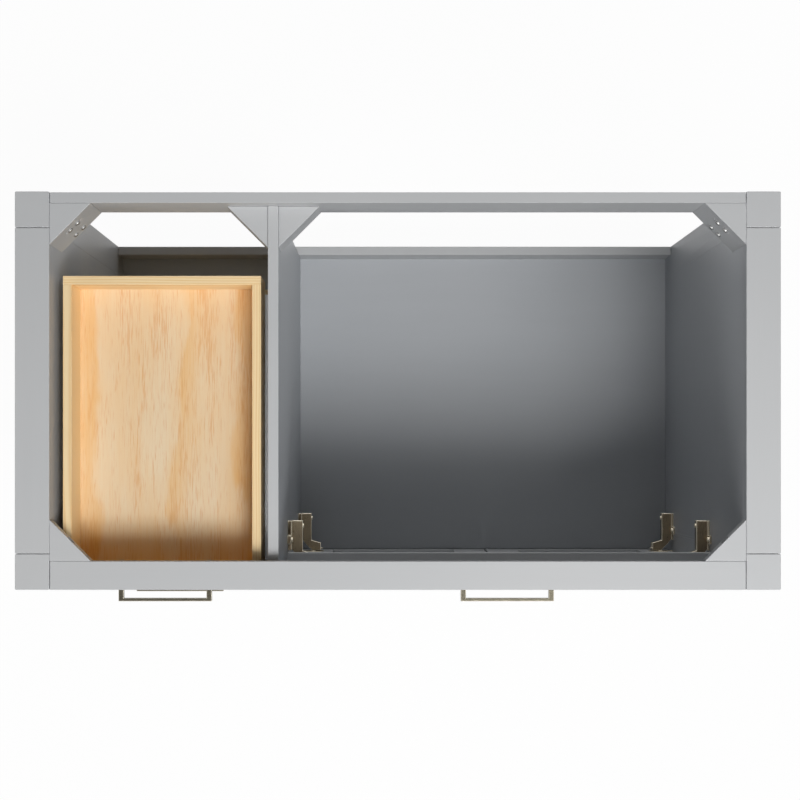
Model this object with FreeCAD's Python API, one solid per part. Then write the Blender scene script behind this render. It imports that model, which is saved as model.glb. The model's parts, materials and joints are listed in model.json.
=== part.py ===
import FreeCAD, Part
import os

from FreeCAD import Vector

# A freestanding bathroom vanity cabinet without its countertop, in millimetres.
# The origin is on the floor, under the middle of the whole outline with its pulls.
# +X runs to the right of someone facing the fronts, +Y to the back and +Z up.

# Overall body
cabinet_width = 1067.0
cabinet_depth = 555.0
cabinet_height = 851.0

# Posts and glides
post_width = 48.0
post_depth = 50.0
post_easing = 1.0
glide_radius = 12.0
glide_thickness = 5.0
glide_stem_radius = 3.5
glide_stem_length = 16.0

# Sides
lining_thickness = 16.0
side_cap_thickness = 20.0
side_rail_height = 60.0
side_panel_inset = 8.0
side_panel_thickness = 12.0

# Back
back_board_thickness = 16.0
back_rail_inset = 1.2
back_rail_top_height = 98.0
back_rail_bottom_height = 118.0

# Face frame, from the rim down
rail_depth = 40.0
rail_thickness = 20.0
first_row_height = 189.0
lower_opening_height = 489.0
bottom_rail_height = 40.0
lower_drawer_count = 3
stile_width = 25.0
stile_depth = 20.0
stile_overlap = 7.0

# Partition and floor
left_bay_width = 302.5
partition_thickness = 15.0
partition_drop = 30.0
floor_panel_thickness = 16.0
floor_setback = 20.7

# Corner blocks
corner_leg = 58.0
partition_block_drop = 33.0

# Wood screws
screw_head_radius = 4.2
screw_head_thickness = 2.4
screw_radius = 2.1
block_screw_length = 52.0
block_screw_spacing = 14.5
block_screw_row_shares = (0.3, 0.8)
plate_pocket_radius = 6.5
plate_pocket_depth = 18.0
pilot_hole_radius = 1.2
pilot_hole_depth = 6.0
pilot_hole_spacing = 28.0
wall_screw_length = 12.0

# Fronts
front_thickness = 20.0
front_gap = 2.0
front_recess = 6.0
drawer_front_border = 40.0
cleat_width = 60.0
cleat_depth = 18.0
cleat_height = 18.0

# Bar pulls
pull_projection = 25.0
pull_centres = 128.0
pull_leg_width = 7.5
pull_bar_thickness = 4.5
pull_bar_height = 9.0
pull_screw_radius = 2.0
pull_screw_head_radius = 4.0
pull_screw_head_thickness = 2.4
pull_screw_bite = 12.0

# Drawer boxes
drawer_board = 12.5
drawer_side_gap = 10.75
drawer_back_gap = 39.0
drawer_headroom = 25.0
drawer_foot_gap = 31.5
drawer_bottom_thickness = 6.0
drawer_bottom_recess = 13.0
drawer_groove_depth = 6.0
drawer_groove_slack = 0.5

# Undermount slides
slide_sheet = 1.5
slide_clearance = 0.5
slide_front_clearance = 1.5
slide_back_clearance = 5.5
slide_under_clearance = 1.5
slide_core_width = 12.0
slide_core_height = 10.5
slide_wall_flange_height = 26.0
slide_side_clearance = 1.0
slide_screw_end_distance = 60.0

# Doors
door_centre_gap = 3.0
door_border = 55.0
door_panel_thickness = 10.0
door_groove_depth = 8.0
door_pull_drop = 170.0
door_pull_edge_distance = 27.0
bumper_radius = 4.0
bumper_seat_depth = 2.0
bumper_clearance = 0.3
bumper_edge_distance = 20.0

# Concealed hinges, measured from the door's hinge edge and from the front plane
hinge_top_drop = 55.0
hinge_bottom_rise = 90.0
cup_radius = 17.5
cup_wall = 1.5
cup_depth = 12.0
cup_edge_distance = 22.5
cup_clearance = 0.3
cup_flange_length = 56.0
cup_flange_width = 24.0
cup_flange_thickness = 1.2
cup_tongue_width = 12.0
cup_tongue_overhang = 1.0
cup_screw_spacing = 45.0
cup_screw_radius = 1.6
cup_screw_head_radius = 3.4
cup_screw_length = 11.0
hinge_arm_width = 16.0
hinge_sheet = 1.5
hinge_arm_height = 17.0
hinge_arm_back = 86.0
hinge_arm_foot_end = 42.0
hinge_arm_crank_start = 39.5
hinge_nose_reach = 34.0
hinge_nose_back = 35.0
hinge_nose_throat = 34.0
hinge_nose_throat_height = 7.0
hinge_ear_radius = 3.5
hinge_pin_radius = 1.5
hinge_pin_edge_distance = 23.0
hinge_pin_depth = 25.5
hinge_pin_clearance = 0.1
hinge_link_length = 14.3
hinge_link_thickness = 2.0
hinge_link_side_clearance = 0.3
hinge_plate_front = 40.0
hinge_plate_top = 1.0
hinge_plate_width = 20.0
hinge_wing_setback = 57.0
hinge_wing_width = 13.0
hinge_wing_length = 52.0
hinge_wing_screw_spacing = 34.0
hinge_arm_screw_radius = 2.0
hinge_arm_screw_head_radius = 3.6
hinge_arm_screw_head_thickness = 1.5
hinge_arm_screw_setback = 8.0

# Running clearance round a screw, and the overrun of every cut
bore_clearance = 0.2
overrun = 5.0

# Main planes
left_face = -cabinet_width / 2
right_face = cabinet_width / 2
front_face = -(cabinet_depth + pull_projection) / 2 + pull_projection
back_face = front_face + cabinet_depth
rim = cabinet_height
left_inner = left_face + post_width
right_inner = right_face - post_width
back_inner = back_face - back_board_thickness
rail_back = front_face + rail_depth
lining_front = front_face + post_depth
lining_back = back_face - post_depth

# Levels of the face frame
top_rail_underside = rim - rail_thickness
middle_rail_top = top_rail_underside - first_row_height
middle_rail_underside = middle_rail_top - rail_thickness
bottom_rail_top = middle_rail_underside - lower_opening_height
body_underside = bottom_rail_top - bottom_rail_height
floor_top = bottom_rail_top + floor_panel_thickness
lower_rails_total = rail_thickness * (lower_drawer_count - 1)
lower_drawer_opening = (lower_opening_height - lower_rails_total) / lower_drawer_count
back_rail_underside = rim - back_rail_top_height

# Partition and stile
partition_left = left_inner + left_bay_width
partition_right = partition_left + partition_thickness
stile_left = partition_left - stile_overlap
stile_right = stile_left + stile_width

# Drawers
drawer_names = ("top", "second", "third", "bottom")
drawer_left = left_inner + drawer_side_gap
drawer_right = partition_left - drawer_side_gap
drawer_front_plane = front_face + front_thickness
drawer_back_plane = back_inner - corner_leg - drawer_back_gap
drawer_height = lower_drawer_opening - drawer_headroom - drawer_foot_gap
slide_front = drawer_front_plane + drawer_board + slide_front_clearance
slide_back = drawer_back_plane - drawer_board - slide_back_clearance

# Doors
door_width = (right_inner - stile_right - 2 * front_gap - door_centre_gap) / 2
door_top = middle_rail_underside - front_gap
door_underside = bottom_rail_top + front_gap
door_back_plane = front_face + front_thickness
hinge_levels = (door_top - hinge_top_drop, door_underside + hinge_bottom_rise)


def block(x_span, y_span, z_span):
    """Return a box between three pairs of planes."""
    sizes = [span[1] - span[0] for span in (x_span, y_span, z_span)]
    return Part.makeBox(*sizes, Vector(x_span[0], y_span[0], z_span[0]))


def around(centre, size):
    """Return the span of a size centred on a place."""
    return (centre - size / 2, centre + size / 2)


def widened(span, amount):
    """Return the span made longer by an amount at both ends."""
    return (span[0] - amount, span[1] + amount)


def prism(outline, z_span):
    """Return an upright solid over an outline of (x, y) points."""
    points = [Vector(x, y, z_span[0]) for x, y in outline]
    face = Part.Face(Part.makePolygon(points + points[:1]))
    return face.extrude(Vector(0, 0, z_span[1] - z_span[0]))


def rod(start, direction, length, radius):
    """Return a cylinder from a point along a direction."""
    return Part.makeCylinder(radius, length, start, direction)


def mirrored(shape):
    """Return the shape mirrored left to right."""
    return shape.mirror(Vector(0, 0, 0), Vector(1, 0, 0))


def moved(shape, x, y, z):
    """Return the shape shifted by three distances."""
    return shape.translated(Vector(x, y, z))


def group(shapes):
    """Return separate solids as one compound."""
    return Part.makeCompound([solid for shape in shapes for solid in shape.Solids])


def cut_all(shape, tools):
    """Return the shape with every tool cut away."""
    for tool in tools:
        shape = shape.cut(tool)
    return shape


def screw(surface, inward, length, radius, head_radius, head_thickness):
    """Return a pan-head screw whose head rests on a surface point."""
    head = rod(surface, -inward, head_thickness, head_radius)
    shank = rod(surface, inward, length, radius)
    return head.fuse(shank).removeSplitter()


def screw_bore(surface, inward, length, radius):
    """Return the hole that a screw of this length and radius needs."""
    start = surface - inward * overrun
    return rod(start, inward, length + overrun + bore_clearance, radius + bore_clearance)


def wood_screw(surface, inward, length):
    """Return a wood screw with its bore."""
    body = screw(surface, inward, length, screw_radius, screw_head_radius, screw_head_thickness)
    return body, screw_bore(surface, inward, length, screw_radius)


def corner_block(x_corner, x_sign, y_corner, y_sign, z_span):
    """Return a triangular block filling an inner corner."""
    outline = (
        (x_corner, y_corner),
        (x_corner + x_sign * corner_leg, y_corner),
        (x_corner, y_corner + y_sign * corner_leg),
    )
    return prism(outline, z_span)


def back_block_screws():
    """Return the screws and bores of the left back corner block."""
    inward = Vector(-1, 1, 0).normalize()
    along = Vector(1, 1, 0).normalize()
    middle = Vector(left_inner + corner_leg / 2, back_inner - corner_leg / 2, 0)
    pairs = []
    for share in block_screw_row_shares:
        level = rim - back_rail_top_height * share
        for side in (-1, 1):
            place = middle + along * (side * block_screw_spacing / 2) + Vector(0, 0, level)
            pairs.append(wood_screw(place, inward, block_screw_length))
    return pairs


def pilot_holes():
    """Return the two empty holes beside the upper screws of the left back block."""
    inward = Vector(-1, 1, 0).normalize()
    along = Vector(1, 1, 0).normalize()
    level = rim - back_rail_top_height * block_screw_row_shares[0]
    middle = Vector(left_inner + corner_leg / 2, back_inner - corner_leg / 2, level)
    holes = []
    for side in (-1, 1):
        start = middle + along * (side * pilot_hole_spacing / 2) - inward * overrun
        holes.append(rod(start, inward, pilot_hole_depth + overrun, pilot_hole_radius))
    return holes


def front_plate_screw():
    """Return the screw, bore and pocket of the left front corner plate."""
    inward = Vector(-1, -1, 0).normalize()
    level = rim - rail_thickness / 2
    surface = Vector(left_inner + corner_leg / 2, rail_back + corner_leg / 2, level)
    seat = surface + inward * plate_pocket_depth
    body, bore = wood_screw(seat, inward, block_screw_length - plate_pocket_depth)
    pocket_start = surface - inward * overrun
    pocket = rod(pocket_start, inward, plate_pocket_depth + overrun, plate_pocket_radius)
    return body, bore, pocket


def wall_screws():
    """Return the screws and bores that fix slides and hinge plates to the walls."""
    pairs = []
    for level in drawer_floors():
        height = level - slide_under_clearance - slide_sheet + slide_wall_flange_height / 2
        for y in (slide_front + slide_screw_end_distance, slide_back - slide_screw_end_distance):
            left = Vector(left_inner + slide_sheet, y, height)
            right = Vector(partition_left - slide_sheet, y, height)
            pairs.append(wood_screw(left, Vector(-1, 0, 0), wall_screw_length))
            pairs.append(wood_screw(right, Vector(1, 0, 0), wall_screw_length))
    for level in hinge_levels:
        for side in (-1, 1):
            height = level + side * hinge_wing_screw_spacing / 2
            y = front_face + hinge_wing_setback
            left = Vector(stile_right + front_gap + hinge_plate_top, y, height)
            right = Vector(right_inner - front_gap - hinge_plate_top, y, height)
            pairs.append(wood_screw(left, Vector(-1, 0, 0), wall_screw_length))
            pairs.append(wood_screw(right, Vector(1, 0, 0), wall_screw_length))
    return pairs


def posts():
    """Return the four posts and the glides under them."""
    bevel = post_easing
    x0, x1 = left_face, left_inner
    block_bores = [pair[1] for pair in back_block_screws()]
    plate_bore = front_plate_screw()[1]
    nodes = {}
    glides = []
    for name, outer_y, lining_y, bores in (
        ("front", front_face, lining_front, [plate_bore]),
        ("back", back_face, lining_back, block_bores),
    ):
        step = bevel if lining_y > outer_y else -bevel
        outline = (
            (x0 + bevel, outer_y), (x1 - bevel, outer_y), (x1, outer_y + step),
            (x1, lining_y), (x0 + bevel, lining_y), (x0, lining_y - step),
            (x0, outer_y + step),
        )
        foot = Vector((x0 + x1) / 2, (outer_y + lining_y) / 2, 0)
        stem = rod(foot, Vector(0, 0, 1), glide_thickness + glide_stem_length, glide_stem_radius)
        disc = rod(foot, Vector(0, 0, 1), glide_thickness, glide_radius)
        socket_height = glide_thickness + glide_stem_length + bore_clearance
        socket = rod(foot, Vector(0, 0, 1), socket_height, glide_stem_radius + bore_clearance)
        post = cut_all(prism(outline, (glide_thickness, rim)), bores + [socket])
        glide = disc.fuse(stem).removeSplitter()
        nodes["post_" + name + "_left"] = post
        nodes["post_" + name + "_right"] = mirrored(post)
        glides += [glide, mirrored(glide)]
    nodes["leg_glides"] = group(glides)
    return nodes


def sides(wall_bores):
    """Return the rails, outer panel and inner lining of both sides."""
    y_span = (lining_front, lining_back)
    lining_outer = left_inner - lining_thickness
    cap = block((left_face, left_inner), y_span, (rim - side_cap_thickness, rim))
    web = block((left_face, lining_outer), y_span, (rim - side_rail_height, rim))
    top_rail = cap.fuse(web).removeSplitter()
    bottom_span = (body_underside, body_underside + side_rail_height)
    bottom_rail = block((left_face, lining_outer), y_span, bottom_span)
    panel_x = (left_face + side_panel_inset, left_face + side_panel_inset + side_panel_thickness)
    panel = block(panel_x, y_span, (bottom_span[1], rim - side_rail_height))
    lining = block((lining_outer, left_inner), y_span, (body_underside, rim - side_cap_thickness))
    rails = group([top_rail, bottom_rail])
    return {
        "side_rails_left": rails,
        "side_rails_right": group([mirrored(rails)]),
        "side_panel_left": panel,
        "side_panel_right": mirrored(panel),
        "side_lining_left": cut_all(lining, wall_bores),
        "side_lining_right": cut_all(mirrored(lining), wall_bores),
    }


def frame():
    """Return the back rails, the face frame, the partition and the floor."""
    between = (left_inner, right_inner)
    back = (back_inner, back_face - back_rail_inset)
    front = (front_face, rail_back)
    block_bores = [pair[1] for pair in back_block_screws()]
    block_bores += [mirrored(bore) for bore in block_bores]
    plate_bore = front_plate_screw()[1]
    top_rail = block(between, front, (top_rail_underside, rim))
    middle_z = (middle_rail_underside, middle_rail_top)
    stile_y = (front_face, front_face + stile_depth)
    stile_z = (bottom_rail_top, top_rail_underside)
    back_low_z = (body_underside, body_underside + back_rail_bottom_height)
    drawer_rails = []
    for index in range(lower_drawer_count):
        top = middle_rail_top - index * (lower_drawer_opening + rail_thickness)
        drawer_rails.append(block((left_inner, stile_left), front, (top - rail_thickness, top)))
    back_top = block(between, back, (back_rail_underside, rim))
    return {
        "back_rail_top": cut_all(back_top, block_bores),
        "back_rail_bottom": block(between, back, back_low_z),
        "front_rail_top": cut_all(top_rail, [plate_bore, mirrored(plate_bore)]),
        "front_rail_middle": block((stile_right, right_inner), front, middle_z),
        "front_rail_bottom": block(between, front, (body_underside, bottom_rail_top)),
        "drawer_rails": group(drawer_rails),
        "centre_stile": block((stile_left, stile_right), stile_y, stile_z),
    }


def inside(wall_bores, seats):
    """Return the partition, the floor panel, the corner blocks and all wood screws."""
    partition = block(
        (partition_left, partition_right),
        (front_face + stile_depth, back_inner),
        (floor_top, rim - partition_drop),
    )
    floor_y = (front_face + floor_setback, back_inner)
    floor_panel = block((left_inner, right_inner), floor_y, (bottom_rail_top, floor_top))
    tall = (back_rail_underside, rim)
    low = (back_rail_underside, rim - partition_block_drop)
    flat = (top_rail_underside, rim)
    block_pairs = back_block_screws()
    plate_screw, plate_bore, pocket = front_plate_screw()
    block_bores = [pair[1] for pair in block_pairs]
    back_bores = block_bores + pilot_holes()
    back_block = cut_all(corner_block(left_inner, 1, back_inner, -1, tall), back_bores)
    front_plate = cut_all(corner_block(left_inner, 1, rail_back, 1, flat), [plate_bore, pocket])
    blocks = [
        back_block,
        mirrored(back_block),
        corner_block(partition_left, -1, back_inner, -1, low),
        corner_block(partition_right, 1, back_inner, -1, low),
        front_plate,
        mirrored(front_plate),
    ]
    corner_screws = [pair[0] for pair in block_pairs] + [plate_screw]
    screws = corner_screws + [mirrored(body) for body in corner_screws]
    screws += [pair[0] for pair in wall_screws()]
    return {
        "partition": cut_all(partition, wall_bores),
        "floor_panel": cut_all(floor_panel, seats),
        "corner_blocks": group(blocks),
        "cabinet_screws": group(screws),
    }


def pull(length_axis, centre, seat_plane, screw_plane):
    """Return a bar pull with its two screws, and the bores of the screws.

    The bar stands in front of the front plane, its legs rest on seat_plane and
    the screws come through from screw_plane behind.
    """
    bar_front = front_face - pull_projection
    bar_back = bar_front + pull_bar_thickness
    solids = []
    bores = []
    half = Vector(length_axis) * (pull_centres / 2)
    ends = [centre - half, centre + half]
    reach = Vector(length_axis) * (pull_leg_width / 2)
    across = Vector(0, 0, 1) if length_axis[0] else Vector(1, 0, 0)
    rise = across * (pull_bar_height / 2)
    for start, end, y_span in (
        (ends[0] - reach, ends[1] + reach, (bar_front, bar_back)),
        (ends[0] - reach, ends[0] + reach, (bar_back, seat_plane)),
        (ends[1] - reach, ends[1] + reach, (bar_back, seat_plane)),
    ):
        low = start - rise
        high = end + rise
        solids.append(block((low.x, high.x), y_span, (low.z, high.z)))
    inward = Vector(0, -1, 0)
    length = screw_plane - seat_plane + pull_screw_bite
    for end in ends:
        head = Vector(end.x, screw_plane, end.z)
        bore = screw_bore(head, inward, length, pull_screw_radius)
        solids = [solid.cut(bore) for solid in solids]
        bores.append(bore)
        head_sizes = (pull_screw_head_radius, pull_screw_head_thickness)
        solids.append(screw(head, inward, length, pull_screw_radius, *head_sizes))
    return group(solids), bores


def shaker_front(x_span, z_span, bores):
    """Return a drawer front with a routed field inside its border."""
    slab = block(x_span, (front_face, front_face + front_thickness), z_span)
    field_x = (x_span[0] + drawer_front_border, x_span[1] - drawer_front_border)
    field_z = (z_span[0] + drawer_front_border, z_span[1] - drawer_front_border)
    field = block(field_x, (front_face - overrun, front_face + front_recess), field_z)
    return cut_all(slab.cut(field), bores)


def false_front():
    """Return the fixed front over the sink, its cleats and its pull."""
    x_span = (stile_right + front_gap, right_inner - front_gap)
    z_span = (middle_rail_top + front_gap, top_rail_underside - front_gap)
    centre = Vector(sum(x_span) / 2, 0, sum(z_span) / 2)
    seat = front_face + front_recess
    back = front_face + front_thickness
    handle, bores = pull((1, 0, 0), centre, seat, back)
    cleats = []
    for x in (x_span[0] + cleat_width, x_span[1] - cleat_width):
        cleat_z = (top_rail_underside - cleat_height, top_rail_underside)
        cleats.append(block(around(x, cleat_width), (back, back + cleat_depth), cleat_z))
    return {
        "false_front": shaker_front(x_span, z_span, bores),
        "false_front_cleats": group(cleats),
        "false_front_pull": handle,
    }


def drawer_openings():
    """Return the span in height of each drawer opening, from the top down."""
    openings = [(middle_rail_top, top_rail_underside)]
    for index in range(lower_drawer_count):
        top = middle_rail_underside - index * (lower_drawer_opening + rail_thickness)
        openings.append((top - lower_drawer_opening, top))
    return openings


def drawer_floors():
    """Return the level of the lower edge of each drawer box."""
    return [top - drawer_headroom - drawer_height for _, top in drawer_openings()]


def channel(x_centre, inner_width, inner_top, y_span, foot):
    """Return an upside-down sheet channel with its inner width and inner top."""
    outer_x = around(x_centre, inner_width + 2 * slide_sheet)
    outer = block(outer_x, y_span, (foot, inner_top + slide_sheet))
    hollow_z = (foot - overrun, inner_top)
    hollow = block(around(x_centre, inner_width), widened(y_span, overrun), hollow_z)
    return outer.cut(hollow)


def slide_set(level):
    """Return the fixed, middle and drawer members of one drawer's two slides."""
    core = slide_core_width
    core_top = level - slide_under_clearance + slide_core_height
    middle_width = core + 2 * slide_clearance
    middle_top = core_top + slide_clearance
    runner_width = middle_width + 2 * slide_sheet + 2 * slide_clearance
    runner_top = middle_top + slide_sheet + slide_clearance
    runner_outer = runner_width + 2 * slide_sheet
    foot = level + slide_clearance
    inset = drawer_board + slide_side_clearance + runner_outer / 2
    y_span = (slide_front, slide_back)
    web_z = (level - slide_under_clearance - slide_sheet, level - slide_under_clearance)
    flange_z = (web_z[0], web_z[0] + slide_wall_flange_height)
    runner_y = (drawer_front_plane + drawer_board, drawer_back_plane - drawer_board)
    left_x = drawer_left + inset
    right_x = drawer_right - inset
    left_web = block((left_inner, left_x + core / 2), y_span, web_z)
    left_flange = block((left_inner, left_inner + slide_sheet), y_span, flange_z)
    right_web = block((right_x - core / 2, partition_left), y_span, web_z)
    right_flange = block((partition_left - slide_sheet, partition_left), y_span, flange_z)
    fixed = []
    middles = []
    runners = []
    for x, web, flange in ((left_x, left_web, left_flange), (right_x, right_web, right_flange)):
        hat = channel(x, core - 2 * slide_sheet, core_top - slide_sheet, y_span, web_z[1])
        fixed.append(web.fuse([flange, hat]).removeSplitter())
        middles.append(channel(x, middle_width, middle_top, y_span, foot))
        runners.append(channel(x, runner_width, runner_top, runner_y, foot))
    return fixed, middles, runners, (inset, runner_outer, runner_top + slide_sheet)


def drawer_box(level, bores, slide_room):
    """Return the boards of a drawer box that stands on a level.

    slide_room gives the slides' inset, their width and the height of their top,
    which the notches in the back board and the floor of the box follow.
    """
    inset, runner_outer, runner_roof = slide_room
    top = level + drawer_height
    floor_z = (runner_roof, runner_roof + drawer_bottom_thickness)
    inner_x = (drawer_left + drawer_board, drawer_right - drawer_board)
    inner_y = (drawer_front_plane + drawer_board, drawer_back_plane - drawer_board)
    tongue = drawer_groove_depth - drawer_groove_slack
    floor_board = block(widened(inner_x, tongue), widened(inner_y, tongue), floor_z)
    groove_x = widened(inner_x, drawer_groove_depth)
    groove_y = widened(inner_y, drawer_groove_depth)
    groove = block(groove_x, groove_y, floor_z)
    side_y = (drawer_front_plane, inner_y[1])
    left = block((drawer_left, inner_x[0]), side_y, (level, top)).cut(groove)
    right = block((inner_x[1], drawer_right), side_y, (level, top)).cut(groove)
    front = block(inner_x, (drawer_front_plane, inner_y[0]), (level, top)).cut(groove)
    back_y = (inner_y[1], drawer_back_plane)
    back = block((drawer_left, drawer_right), back_y, (level, top)).cut(groove)
    for x in (drawer_left + inset, drawer_right - inset):
        notch_x = around(x, runner_outer + 2 * slide_side_clearance)
        notch_y = (inner_y[1] - overrun, drawer_back_plane + overrun)
        back = back.cut(block(notch_x, notch_y, (level - overrun, runner_roof)))
    return [left, right], [cut_all(front, bores), back], floor_board


def drawers(wall_bores):
    """Return the pieces of the four drawers and their slides."""
    nodes = {}
    fixed_rails = []
    rows = zip(drawer_names, drawer_openings(), drawer_floors())
    for index, (name, opening, level) in enumerate(rows):
        prefix = "drawer_" + name + "_"
        x_span = (left_inner + front_gap, stile_left - front_gap)
        z_span = (opening[0] + front_gap, opening[1] - front_gap)
        centre = Vector(sum(x_span) / 2, 0, sum(z_span) / 2)
        head_plane = drawer_front_plane + drawer_board
        handle, bores = pull((1, 0, 0), centre, front_face + front_recess, head_plane)
        fixed, middles, runners, slide_room = slide_set(level)
        side_boards, end_boards, floor_board = drawer_box(level, bores, slide_room)
        nodes[prefix + "front"] = shaker_front(x_span, z_span, bores)
        nodes[prefix + "pull"] = handle
        if index == 0:
            nodes[prefix + "sides"] = group(side_boards)
            nodes[prefix + "ends"] = group(end_boards)
            nodes[prefix + "floor"] = floor_board
        else:
            nodes[prefix + "box"] = group(side_boards + end_boards + [floor_board])
        nodes[prefix + "runners"] = group(runners)
        nodes["slide_" + name + "_middle"] = group(middles)
        fixed_rails += fixed
    nodes["slide_rails"] = group([cut_all(rail, wall_bores) for rail in fixed_rails])
    return nodes


def door_panel_span(span):
    """Return the span of a door's panel, with its tongues, inside the door's span."""
    return widened(span, door_groove_depth - door_border)


def hinge_cup():
    """Return a hinge cup with its flange, its screws and the bores they need.

    The cup lies at the door's hinge edge: +X runs into the door, +Y to the back.
    """
    back = front_thickness
    centre = Vector(cup_edge_distance, back, 0)
    bottom = Vector(cup_edge_distance, back - cup_depth, 0)
    up = Vector(0, 1, 0)
    flange_y = (back, back + cup_flange_thickness)
    flange_x = around(cup_edge_distance, cup_flange_width)
    flange = block(flange_x, flange_y, around(0, cup_flange_length))
    tongue = block((-cup_tongue_overhang, cup_edge_distance), flange_y, around(0, cup_tongue_width))
    bowl = rod(bottom, up, cup_depth + cup_flange_thickness, cup_radius)
    hollow_start = bottom + up * cup_wall
    hollow = rod(hollow_start, up, cup_depth + overrun, cup_radius - cup_wall)
    body = bowl.fuse([flange, tongue]).removeSplitter().cut(hollow)
    bore_start = centre - up * (cup_depth + cup_clearance)
    bore = rod(bore_start, up, cup_depth + overrun, cup_radius + cup_clearance)
    inward = Vector(0, -1, 0)
    head_sizes = (cup_screw_head_radius, cup_flange_thickness)
    solids = []
    bores = [bore]
    for side in (-1, 1):
        seat = Vector(cup_edge_distance, flange_y[1], side * cup_screw_spacing / 2)
        screw_hole = screw_bore(seat, inward, cup_screw_length, cup_screw_radius)
        body = body.cut(screw_hole)
        bores.append(screw_hole)
        solids.append(screw(seat, inward, cup_screw_length, cup_screw_radius, *head_sizes))
    return group([body] + solids), bores


def hinge_arm(wall):
    """Return a cranked hinge arm on its plate, with its pin and its two clamp screws.

    wall is the wall's place beside the door's hinge edge.
    """
    half = hinge_arm_width / 2
    inner = half - hinge_sheet
    roof = hinge_plate_top + hinge_arm_height
    pin_x = hinge_pin_edge_distance
    pin_y = hinge_pin_depth
    nose_front = pin_y - hinge_ear_radius
    outline = (
        (hinge_plate_top, hinge_arm_back),
        (roof, hinge_arm_back),
        (roof, hinge_arm_crank_start),
        (hinge_nose_reach, hinge_nose_back),
        (hinge_nose_reach, nose_front),
        (pin_x - hinge_ear_radius, nose_front),
        (hinge_nose_throat_height, hinge_nose_throat),
        (hinge_plate_top, hinge_arm_foot_end),
    )
    hollow_outline = (
        (-overrun, hinge_arm_back + overrun),
        (roof - hinge_sheet, hinge_arm_back + overrun),
        (roof - hinge_sheet, hinge_arm_crank_start - hinge_sheet),
        (hinge_nose_reach, hinge_nose_back - hinge_sheet),
        (hinge_nose_reach + overrun, hinge_nose_back - hinge_sheet),
        (hinge_nose_reach + overrun, nose_front - overrun),
        (-overrun, nose_front - overrun),
    )
    pin = rod(Vector(pin_x, pin_y, -inner), Vector(0, 0, 1), 2 * inner, hinge_pin_radius)
    plate_x = (wall, hinge_plate_top)
    plate = block(plate_x, (hinge_plate_front, hinge_arm_back), around(0, hinge_plate_width))
    wing_y = around(hinge_wing_setback, hinge_wing_width)
    plate = plate.fuse(block(plate_x, wing_y, around(0, hinge_wing_length))).removeSplitter()
    for side in (-1, 1):
        seat = Vector(hinge_plate_top, hinge_wing_setback, side * hinge_wing_screw_spacing / 2)
        plate = plate.cut(screw_bore(seat, Vector(-1, 0, 0), wall_screw_length, screw_radius))
    arm = prism(outline, (-half, half)).cut(prism(hollow_outline, (-inner, inner)))
    seat = Vector(roof, hinge_arm_back - hinge_arm_screw_setback, 0)
    inward = Vector(-1, 0, 0)
    head_sizes = (hinge_arm_screw_head_radius, hinge_arm_screw_head_thickness)
    clamp = screw(seat, inward, hinge_arm_height, hinge_arm_screw_radius, *head_sizes)
    arm = arm.cut(screw_bore(seat, inward, hinge_sheet, hinge_arm_screw_radius))
    return group([arm, plate, pin, clamp])


def hinge_link():
    """Return the swinging link at rest, lying over the cup from its pin."""
    half = hinge_arm_width / 2 - hinge_sheet - hinge_link_side_clearance
    pin_x = hinge_pin_edge_distance
    pin_y = hinge_pin_depth
    eye_radius = hinge_ear_radius - hinge_pin_clearance
    eye = rod(Vector(pin_x, pin_y, -half), Vector(0, 0, 1), 2 * half, eye_radius)
    strip_x = (pin_x, pin_x + hinge_link_length)
    strip = block(strip_x, around(pin_y, hinge_link_thickness), (-half, half))
    hole = rod(
        Vector(pin_x, pin_y, -half - overrun),
        Vector(0, 0, 1),
        2 * (half + overrun),
        hinge_pin_radius + hinge_pin_clearance,
    )
    return eye.fuse(strip).removeSplitter().cut(hole)


def door(x_span, hinge_on_left):
    """Return the frame, panel, pull and hinge cups of one door."""
    z_span = (door_underside, door_top)
    y_span = (front_face, door_back_plane)
    hinge_edge, free_edge = x_span if hinge_on_left else x_span[::-1]
    sign = 1 if hinge_on_left else -1
    panel_y = (front_face + front_recess, front_face + front_recess + door_panel_thickness)
    panel = block(door_panel_span(x_span), panel_y, door_panel_span(z_span))
    stiles = [
        block((x_span[0], x_span[0] + door_border), y_span, z_span),
        block((x_span[1] - door_border, x_span[1]), y_span, z_span),
    ]
    rail_x = (x_span[0] + door_border, x_span[1] - door_border)
    rails = [
        block(rail_x, y_span, (z_span[0], z_span[0] + door_border)),
        block(rail_x, y_span, (z_span[1] - door_border, z_span[1])),
    ]
    pull_x = free_edge - sign * door_pull_edge_distance
    centre = Vector(pull_x, 0, door_top - door_pull_drop)
    handle, bores = pull((0, 0, 1), centre, front_face, door_back_plane)
    cup, cup_bores = hinge_cup()
    cups = []
    for level in hinge_levels:
        cups.append(place_hinge(cup, hinge_edge, hinge_on_left, level))
        bores += [place_hinge(bore, hinge_edge, hinge_on_left, level) for bore in cup_bores]
    frame_pieces = [cut_all(piece.cut(panel), bores) for piece in stiles + rails]
    return group(frame_pieces), panel, handle, group(cups)


def place_hinge(shape, hinge_edge, hinge_on_left, level):
    """Return a hinge piece at a door's hinge edge and level."""
    if not hinge_on_left:
        shape = mirrored(shape)
    return moved(shape, hinge_edge, front_face, level)


def door_spans():
    """Return the spans in width of the left and the right door."""
    left_start = stile_right + front_gap
    right_end = right_inner - front_gap
    return (left_start, left_start + door_width), (right_end - door_width, right_end)


def bumper_places():
    """Return the point on the floor panel's front edge behind each door's free edge."""
    left_span, right_span = door_spans()
    height = (bottom_rail_top + floor_top) / 2
    free_places = (left_span[1] - bumper_edge_distance, right_span[0] + bumper_edge_distance)
    return [Vector(x, front_face + floor_setback, height) for x in free_places]


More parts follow.
